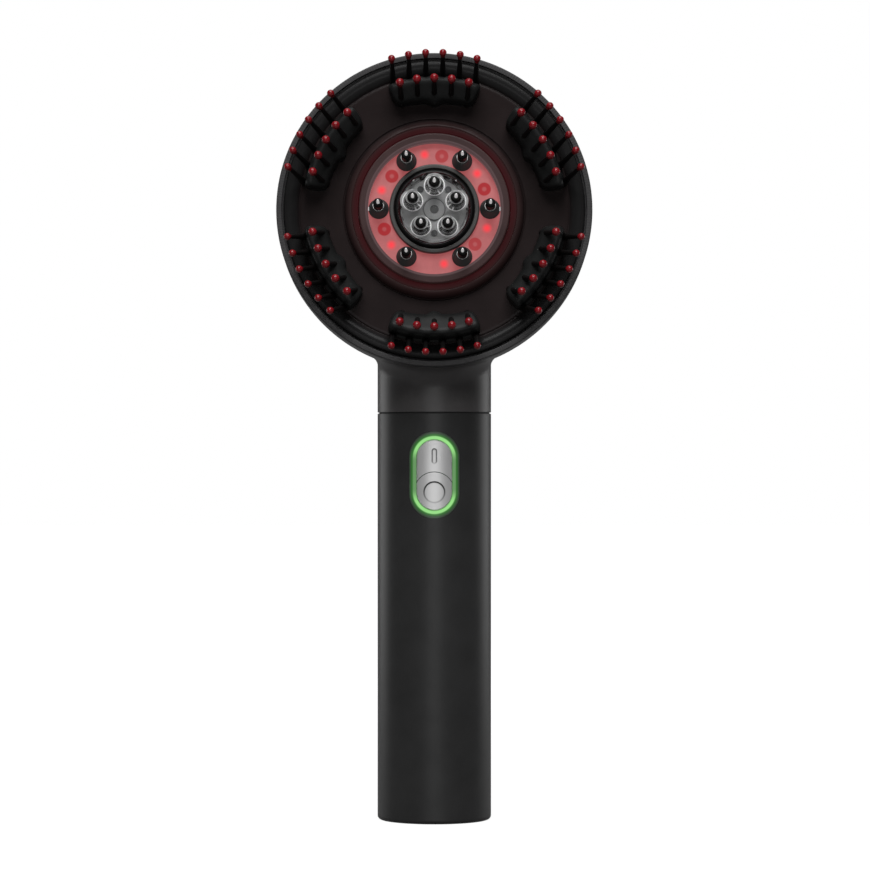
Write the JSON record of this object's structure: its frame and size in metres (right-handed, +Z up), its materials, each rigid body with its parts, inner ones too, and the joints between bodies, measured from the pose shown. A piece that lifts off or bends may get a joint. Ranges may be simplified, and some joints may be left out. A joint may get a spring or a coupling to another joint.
{
  "type": "electric scalp massager",
  "caption": "Round massage head with comb pads, sprung electrodes and liquid-dispensing pins on an upright cylindrical handle with a two-part power button.",
  "frame": {"origin": "centre of the flat face at the foot of the handle, which it stands on", "axes": "+Z up along the handle's axis, -Y the way the working face looks, +X to the right as seen from the front"},
  "size_m": [0.0916, 0.0617, 0.2243],
  "materials": {
    "handle_satin": "satin lacquer",
    "cap_black": "fine grain",
    "seam_black": "matt",
    "frame_white": "matt, unpainted moulding",
    "cell_wrap": "blue shrink film over a metal can",
    "nickel": "plain strip",
    "board_green": "solder mask",
    "board_white": "white solder mask",
    "component_black": "matt",
    "socket_steel": "plated",
    "bezel_green": "dark translucent",
    "light_green": "lit light guide",
    "button_silver": "silver satin paint",
    "wire_insulation": "soft sleeve",
    "shell_charcoal": "satin",
    "rim_charcoal": "satin",
    "cover_smoke": "smoked gloss",
    "glow_red": "dark red translucent",
    "lens_smoke": "smoked translucent",
    "diffuser_pink": "milky, lit from behind",
    "led_red": "lit",
    "led_infrared": "dark red lens",
    "screw_steel": "plated",
    "contact_brass": "plated",
    "inner_grey": "satin",
    "seal_rubber": "matt",
    "window_clear": "clear moulded plastic",
    "tank_clear": "clear grey",
    "plate_grey": "satin",
    "pin_black": "black with a bright metal tip",
    "spring_steel": "drawn wire",
    "boot_rubber": "matt",
    "pad_rubber": "satin",
    "tip_red": "gloss",
    "motor_steel": "plated can",
    "clamp_grey": "matt",
    "weight_brass": "turned",
    "plug_rubber": "matt"
  },
  "bodies": {
    "body": {"handle_tube": "handle_satin", "end_cap": "cap_black", "neck_joiner": "seam_black", "chassis": "frame_white", "battery_cell": "cell_wrap", "battery_tabs": "nickel", "control_board": "board_green", "board_parts": "component_black", "tact_switches": "component_black", "charging_board": "board_green", "charging_socket": "socket_steel", "button_bezel": "bezel_green", "light_ring": "light_green", "lead_wires": "wire_insulation", "head_shell": "shell_charcoal", "rim_ring": "rim_charcoal", "face_cover": "cover_smoke", "glow_ring": "glow_red", "lens_ring": "lens_smoke", "diffuser_ring": "diffuser_pink", "led_board": "board_white", "red_leds": "led_red", "infrared_leds": "led_infrared", "head_frame": "frame_white", "frame_screws": "screw_steel", "contact_ring": "contact_brass", "inner_ring": "inner_grey", "tank_seal": "seal_rubber", "tank_window": "window_clear", "tank_body": "tank_clear", "chamber_plate": "plate_grey", "chamber_screws": "screw_steel", "valve_springs": "spring_steel", "electrode_springs": "spring_steel", "pin_boots": "boot_rubber", "comb_pad_1": "pad_rubber", "comb_pad_2": "pad_rubber", "comb_pad_3": "pad_rubber", "comb_pad_4": "pad_rubber", "comb_pad_5": "pad_rubber", "comb_pad_6": "pad_rubber", "bristle_tips": "tip_red", "motor": "motor_steel", "motor_clamp": "clamp_grey"},
    "on_button": {"on_button": "button_silver"},
    "off_button": {"off_button": "button_silver"},
    "dispensing_pin_1": {"dispensing_pin_1": "pin_black"},
    "dispensing_pin_2": {"dispensing_pin_2": "pin_black"},
    "dispensing_pin_3": {"dispensing_pin_3": "pin_black"},
    "dispensing_pin_4": {"dispensing_pin_4": "pin_black"},
    "dispensing_pin_5": {"dispensing_pin_5": "pin_black"},
    "electrode_pin_1": {"electrode_pin_1": "pin_black"},
    "electrode_pin_2": {"electrode_pin_2": "pin_black"},
    "electrode_pin_3": {"electrode_pin_3": "pin_black"},
    "electrode_pin_4": {"electrode_pin_4": "pin_black"},
    "electrode_pin_5": {"electrode_pin_5": "pin_black"},
    "electrode_pin_6": {"electrode_pin_6": "pin_black"},
    "rotor": {"motor_shaft": "screw_steel", "eccentric_weight": "weight_brass"},
    "fill_plug": {"fill_plug": "plug_rubber"}
  },
  "joints": [
    {"name": "on_button_press", "type": "slide", "parent": "body", "child": "on_button", "axis": [0, 1, 0], "range_m": [0, 0.0005], "stiffness_N_per_m": 400, "springref_m": -0.0003},
    {"name": "off_button_press", "type": "slide", "parent": "body", "child": "off_button", "axis": [0, 1, 0], "range_m": [0, 0.0005], "stiffness_N_per_m": 400, "springref_m": -0.0003},
    {"name": "dispensing_pin_1_press", "type": "slide", "parent": "body", "child": "dispensing_pin_1", "axis": [0, 0.9969, -0.0785], "range_m": [0, 0.0015], "stiffness_N_per_m": 300, "springref_m": -0.001, "deforming": ["valve_springs"]},
    {"name": "dispensing_pin_2_press", "type": "slide", "parent": "body", "child": "dispensing_pin_2", "axis": [0, 0.9969, -0.0785], "range_m": [0, 0.0015], "stiffness_N_per_m": 300, "springref_m": -0.001, "deforming": ["valve_springs"]},
    {"name": "dispensing_pin_3_press", "type": "slide", "parent": "body", "child": "dispensing_pin_3", "axis": [0, 0.9969, -0.0785], "range_m": [0, 0.0015], "stiffness_N_per_m": 300, "springref_m": -0.001, "deforming": ["valve_springs"]},
    {"name": "dispensing_pin_4_press", "type": "slide", "parent": "body", "child": "dispensing_pin_4", "axis": [0, 0.9969, -0.0785], "range_m": [0, 0.0015], "stiffness_N_per_m": 300, "springref_m": -0.001, "deforming": ["valve_springs"]},
    {"name": "dispensing_pin_5_press", "type": "slide", "parent": "body", "child": "dispensing_pin_5", "axis": [0, 0.9969, -0.0785], "range_m": [0, 0.0015], "stiffness_N_per_m": 300, "springref_m": -0.001, "deforming": ["valve_springs"]},
    {"name": "electrode_pin_1_press", "type": "slide", "parent": "body", "child": "electrode_pin_1", "axis": [0, 0.9969, -0.0785], "range_m": [0, 0.0015], "stiffness_N_per_m": 300, "springref_m": -0.001, "deforming": ["electrode_springs"]},
    {"name": "electrode_pin_2_press", "type": "slide", "parent": "body", "child": "electrode_pin_2", "axis": [0, 0.9969, -0.0785], "range_m": [0, 0.0015], "stiffness_N_per_m": 300, "springref_m": -0.001, "deforming": ["electrode_springs"]},
    {"name": "electrode_pin_3_press", "type": "slide", "parent": "body", "child": "electrode_pin_3", "axis": [0, 0.9969, -0.0785], "range_m": [0, 0.0015], "stiffness_N_per_m": 300, "springref_m": -0.001, "deforming": ["electrode_springs"]},
    {"name": "electrode_pin_4_press", "type": "slide", "parent": "body", "child": "electrode_pin_4", "axis": [0, 0.9969, -0.0785], "range_m": [0, 0.0015], "stiffness_N_per_m": 300, "springref_m": -0.001, "deforming": ["electrode_springs"]},
    {"name": "electrode_pin_5_press", "type": "slide", "parent": "body", "child": "electrode_pin_5", "axis": [0, 0.9969, -0.0785], "range_m": [0, 0.0015], "stiffness_N_per_m": 300, "springref_m": -0.001, "deforming": ["electrode_springs"]},
    {"name": "electrode_pin_6_press", "type": "slide", "parent": "body", "child": "electrode_pin_6", "axis": [0, 0.9969, -0.0785], "range_m": [0, 0.0015], "stiffness_N_per_m": 300, "springref_m": -0.001, "deforming": ["electrode_springs"]},
    {"name": "rotor_spin", "type": "hinge", "parent": "body", "child": "rotor", "pos_m": [0, -0.00486, 0.15436], "axis": [1, 0, 0], "continuous": true},
    {"name": "fill_plug_pull", "type": "slide", "parent": "body", "child": "fill_plug", "axis": [0, 0.9969, -0.0785], "range_m": [0, 0.012]}
  ]
}
